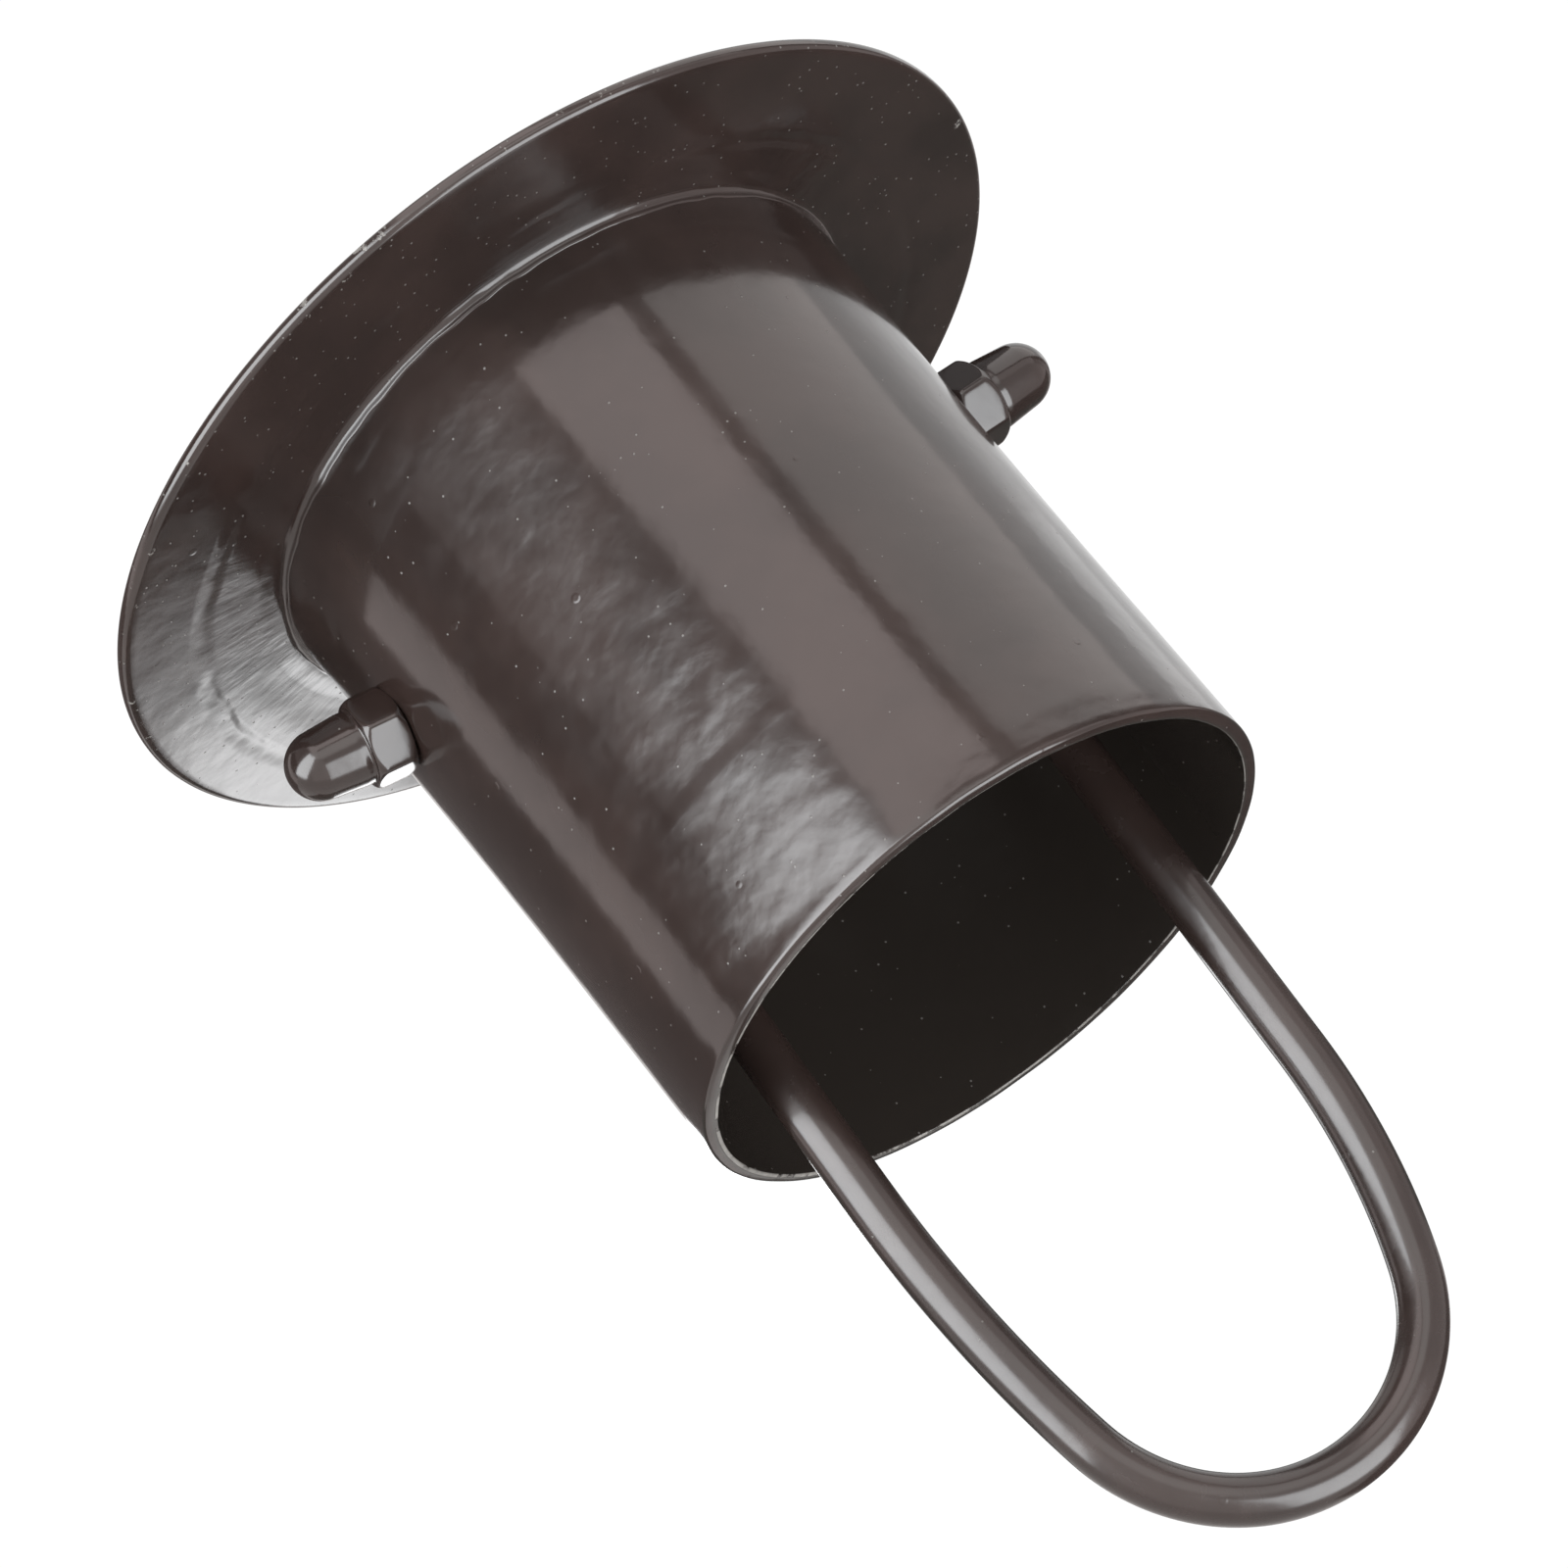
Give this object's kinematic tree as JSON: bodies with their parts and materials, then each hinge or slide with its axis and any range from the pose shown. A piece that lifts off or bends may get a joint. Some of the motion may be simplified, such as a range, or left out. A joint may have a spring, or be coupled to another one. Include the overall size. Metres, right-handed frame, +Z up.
{
  "type": "rain chain gutter outlet",
  "caption": "Flanged metal tube that drops through a gutter floor, with a swinging wire loop on cap nuts that carries a rain chain.",
  "frame": {"origin": "on the tube's axis, level with the underside of the flange, where the gutter's floor lies", "axes": "+Z up along the tube's axis, towards the top of the flange; +X along the loop's pivot, through the right-hand cap nut; +Y is the side that the loop is swung towards at rest"},
  "size_m": [0.102, 0.102, 0.1309],
  "materials": {
    "brown_enamel": "gloss",
    "tube_enamel": "gloss",
    "rod_enamel": "gloss",
    "nut_enamel": "gloss"
  },
  "bodies": {
    "outlet": {"flange_ring": "brown_enamel", "outlet_tube": "tube_enamel", "flange_weld": "brown_enamel"},
    "hanger": {"hanger_loop": "rod_enamel", "cap_nut_left": "nut_enamel", "cap_nut_right": "nut_enamel", "jam_nut_left": "nut_enamel", "jam_nut_right": "nut_enamel"}
  },
  "joints": [
    {"name": "hanger_swing", "type": "hinge", "parent": "outlet", "child": "hanger", "pos_m": [0, 0, -0.019], "axis": [1, 0, 0], "range_deg": [-24, 9]}
  ]
}
